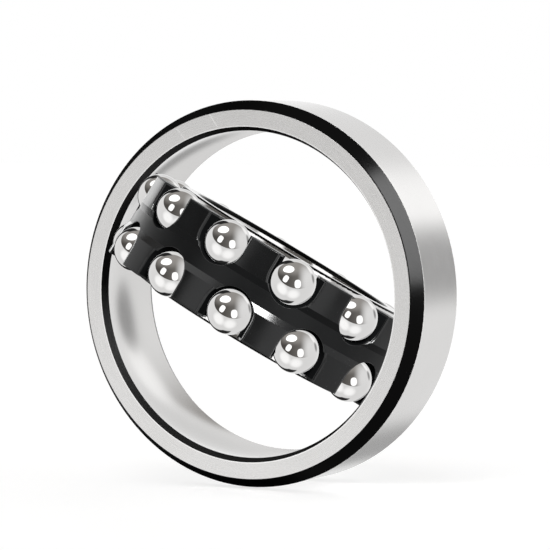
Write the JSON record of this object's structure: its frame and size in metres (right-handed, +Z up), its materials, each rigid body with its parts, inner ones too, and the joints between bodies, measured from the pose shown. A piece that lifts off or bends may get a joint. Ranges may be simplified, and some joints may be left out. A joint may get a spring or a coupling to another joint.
{
  "type": "self-aligning ball bearing",
  "caption": "Self-aligning ball bearing with a spherical outer raceway, its inner ring, cage and two rows of balls swung out of line with the outer ring.",
  "frame": {"origin": "centre of the spherical raceway, on the outer ring's axis halfway between its side faces", "axes": "+Y along the outer ring's axis, with the front face towards -Y; +Z up as in the picture; the inner set swings about a diameter of the outer ring that lies in the XZ plane"},
  "size_m": [0.09, 0.0776, 0.09],
  "materials": {
    "outer_ring_steel": "ground",
    "inner_ring_steel": "polished",
    "ball_steel": "polished",
    "cage_plastic": "satin"
  },
  "bodies": {
    "outer_ring": {"outer_ring": "outer_ring_steel"},
    "cage": {"cage": "cage_plastic"},
    "inner_ring": {"inner_ring": "inner_ring_steel"},
    "ball_upper_01": {"ball_upper_01": "ball_steel"},
    "ball_upper_02": {"ball_upper_02": "ball_steel"},
    "ball_upper_03": {"ball_upper_03": "ball_steel"},
    "ball_upper_04": {"ball_upper_04": "ball_steel"},
    "ball_upper_05": {"ball_upper_05": "ball_steel"},
    "ball_upper_06": {"ball_upper_06": "ball_steel"},
    "ball_upper_07": {"ball_upper_07": "ball_steel"},
    "ball_upper_08": {"ball_upper_08": "ball_steel"},
    "ball_upper_09": {"ball_upper_09": "ball_steel"},
    "ball_upper_10": {"ball_upper_10": "ball_steel"},
    "ball_upper_11": {"ball_upper_11": "ball_steel"},
    "ball_upper_12": {"ball_upper_12": "ball_steel"},
    "ball_lower_01": {"ball_lower_01": "ball_steel"},
    "ball_lower_02": {"ball_lower_02": "ball_steel"},
    "ball_lower_03": {"ball_lower_03": "ball_steel"},
    "ball_lower_04": {"ball_lower_04": "ball_steel"},
    "ball_lower_05": {"ball_lower_05": "ball_steel"},
    "ball_lower_06": {"ball_lower_06": "ball_steel"},
    "ball_lower_07": {"ball_lower_07": "ball_steel"},
    "ball_lower_08": {"ball_lower_08": "ball_steel"},
    "ball_lower_09": {"ball_lower_09": "ball_steel"},
    "ball_lower_10": {"ball_lower_10": "ball_steel"},
    "ball_lower_11": {"ball_lower_11": "ball_steel"},
    "ball_lower_12": {"ball_lower_12": "ball_steel"}
  },
  "joints": [
    {"name": "swivel", "type": "hinge", "parent": "outer_ring", "child": "cage", "pos_m": [0, 0, 0], "axis": [0.887, 0, -0.4617], "continuous": true},
    {"name": "inner_ring_spin", "type": "hinge", "parent": "cage", "child": "inner_ring", "pos_m": [0, 0, 0], "axis": [0.4468, 0.2521, 0.8584], "continuous": true},
    {"name": "ball_upper_01_spin", "type": "hinge", "parent": "cage", "child": "ball_upper_01", "pos_m": [0.0325, 0.00164, -0.00983], "axis": [0.269, 0.2474, 0.9308], "continuous": true},
    {"name": "ball_upper_02_spin", "type": "hinge", "parent": "cage", "child": "ball_upper_02", "pos_m": [0.02659, 0.01778, -0.01149], "axis": [0.3028, 0.1549, 0.9404], "continuous": true},
    {"name": "ball_upper_03_spin", "type": "hinge", "parent": "cage", "child": "ball_upper_03", "pos_m": [0.01434, 0.0296, -0.00858], "axis": [0.3731, 0.0872, 0.9237], "continuous": true},
    {"name": "ball_upper_04_spin", "type": "hinge", "parent": "cage", "child": "ball_upper_04", "pos_m": [-0.00098, 0.03392, -0.00188], "axis": [0.4608, 0.0624, 0.8853], "continuous": true},
    {"name": "ball_upper_05_spin", "type": "hinge", "parent": "cage", "child": "ball_upper_05", "pos_m": [-0.01526, 0.0296, 0.00682], "axis": [0.5427, 0.0872, 0.8354], "continuous": true},
    {"name": "ball_upper_06_spin", "type": "hinge", "parent": "cage", "child": "ball_upper_06", "pos_m": [-0.02467, 0.01778, 0.01519], "axis": [0.5966, 0.1549, 0.7874], "continuous": true},
    {"name": "ball_upper_07_spin", "type": "hinge", "parent": "cage", "child": "ball_upper_07", "pos_m": [-0.02669, 0.00164, 0.02098], "axis": [0.6082, 0.2474, 0.7542], "continuous": true},
    {"name": "ball_upper_08_spin", "type": "hinge", "parent": "cage", "child": "ball_upper_08", "pos_m": [-0.02078, -0.0145, 0.02265], "axis": [0.5744, 0.3399, 0.7447], "continuous": true},
    {"name": "ball_upper_09_spin", "type": "hinge", "parent": "cage", "child": "ball_upper_09", "pos_m": [-0.00853, -0.02632, 0.01974], "axis": [0.5041, 0.4077, 0.7613], "continuous": true},
    {"name": "ball_upper_10_spin", "type": "hinge", "parent": "cage", "child": "ball_upper_10", "pos_m": [0.00679, -0.03065, 0.01304], "axis": [0.4163, 0.4325, 0.7998], "continuous": true},
    {"name": "ball_upper_11_spin", "type": "hinge", "parent": "cage", "child": "ball_upper_11", "pos_m": [0.02106, -0.02632, 0.00434], "axis": [0.3345, 0.4077, 0.8496], "continuous": true},
    {"name": "ball_upper_12_spin", "type": "hinge", "parent": "cage", "child": "ball_upper_12", "pos_m": [0.03047, -0.0145, -0.00403], "axis": [0.2806, 0.3399, 0.8976], "continuous": true},
    {"name": "ball_lower_01_spin", "type": "hinge", "parent": "cage", "child": "ball_lower_01", "pos_m": [0.02468, 0.00672, -0.02239], "axis": [0.5967, 0.2953, 0.7462], "continuous": true},
    {"name": "ball_lower_02_spin", "type": "hinge", "parent": "cage", "child": "ball_lower_02", "pos_m": [0.01528, 0.02119, -0.02175], "axis": [0.5428, 0.3783, 0.7499], "continuous": true},
    {"name": "ball_lower_03_spin", "type": "hinge", "parent": "cage", "child": "ball_lower_03", "pos_m": [0.001, 0.02955, -0.01677], "axis": [0.461, 0.4262, 0.7784], "continuous": true},
    {"name": "ball_lower_04_spin", "type": "hinge", "parent": "cage", "child": "ball_lower_04", "pos_m": [-0.01431, 0.02955, -0.0088], "axis": [0.3732, 0.4262, 0.8241], "continuous": true},
    {"name": "ball_lower_05_spin", "type": "hinge", "parent": "cage", "child": "ball_lower_05", "pos_m": [-0.02658, 0.02119, 0.00004], "axis": [0.3029, 0.3783, 0.8747], "continuous": true},
    {"name": "ball_lower_06_spin", "type": "hinge", "parent": "cage", "child": "ball_lower_06", "pos_m": [-0.03249, 0.00672, 0.00737], "axis": [0.269, 0.2953, 0.9168], "continuous": true},
    {"name": "ball_lower_07_spin", "type": "hinge", "parent": "cage", "child": "ball_lower_07", "pos_m": [-0.03048, -0.00999, 0.01123], "axis": [0.2805, 0.1995, 0.9389], "continuous": true},
    {"name": "ball_lower_08_spin", "type": "hinge", "parent": "cage", "child": "ball_lower_08", "pos_m": [-0.02108, -0.02447, 0.01059], "axis": [0.3344, 0.1166, 0.9352], "continuous": true},
    {"name": "ball_lower_09_spin", "type": "hinge", "parent": "cage", "child": "ball_lower_09", "pos_m": [-0.00681, -0.03282, 0.00561], "axis": [0.4162, 0.0687, 0.9067], "continuous": true},
    {"name": "ball_lower_10_spin", "type": "hinge", "parent": "cage", "child": "ball_lower_10", "pos_m": [0.00851, -0.03282, -0.00236], "axis": [0.504, 0.0687, 0.861], "continuous": true},
    {"name": "ball_lower_11_spin", "type": "hinge", "parent": "cage", "child": "ball_lower_11", "pos_m": [0.02077, -0.02447, -0.0112], "axis": [0.5743, 0.1166, 0.8103], "continuous": true},
    {"name": "ball_lower_12_spin", "type": "hinge", "parent": "cage", "child": "ball_lower_12", "pos_m": [0.02669, -0.00999, -0.01853], "axis": [0.6082, 0.1995, 0.7683], "continuous": true}
  ],
  "couplings": [
    {"joint": "ball_upper_01_spin", "follows": "inner_ring_spin", "ratio": -5.4841},
    {"joint": "ball_upper_02_spin", "follows": "inner_ring_spin", "ratio": -5.4841},
    {"joint": "ball_upper_03_spin", "follows": "inner_ring_spin", "ratio": -5.4841},
    {"joint": "ball_upper_04_spin", "follows": "inner_ring_spin", "ratio": -5.4841},
    {"joint": "ball_upper_05_spin", "follows": "inner_ring_spin", "ratio": -5.4841},
    {"joint": "ball_upper_06_spin", "follows": "inner_ring_spin", "ratio": -5.4841},
    {"joint": "ball_upper_07_spin", "follows": "inner_ring_spin", "ratio": -5.4841},
    {"joint": "ball_upper_08_spin", "follows": "inner_ring_spin", "ratio": -5.4841},
    {"joint": "ball_upper_09_spin", "follows": "inner_ring_spin", "ratio": -5.4841},
    {"joint": "ball_upper_10_spin", "follows": "inner_ring_spin", "ratio": -5.4841},
    {"joint": "ball_upper_11_spin", "follows": "inner_ring_spin", "ratio": -5.4841},
    {"joint": "ball_upper_12_spin", "follows": "inner_ring_spin", "ratio": -5.4841},
    {"joint": "ball_lower_01_spin", "follows": "inner_ring_spin", "ratio": -5.4841},
    {"joint": "ball_lower_02_spin", "follows": "inner_ring_spin", "ratio": -5.4841},
    {"joint": "ball_lower_03_spin", "follows": "inner_ring_spin", "ratio": -5.4841},
    {"joint": "ball_lower_04_spin", "follows": "inner_ring_spin", "ratio": -5.4841},
    {"joint": "ball_lower_05_spin", "follows": "inner_ring_spin", "ratio": -5.4841},
    {"joint": "ball_lower_06_spin", "follows": "inner_ring_spin", "ratio": -5.4841},
    {"joint": "ball_lower_07_spin", "follows": "inner_ring_spin", "ratio": -5.4841},
    {"joint": "ball_lower_08_spin", "follows": "inner_ring_spin", "ratio": -5.4841},
    {"joint": "ball_lower_09_spin", "follows": "inner_ring_spin", "ratio": -5.4841},
    {"joint": "ball_lower_10_spin", "follows": "inner_ring_spin", "ratio": -5.4841},
    {"joint": "ball_lower_11_spin", "follows": "inner_ring_spin", "ratio": -5.4841},
    {"joint": "ball_lower_12_spin", "follows": "inner_ring_spin", "ratio": -5.4841}
  ]
}
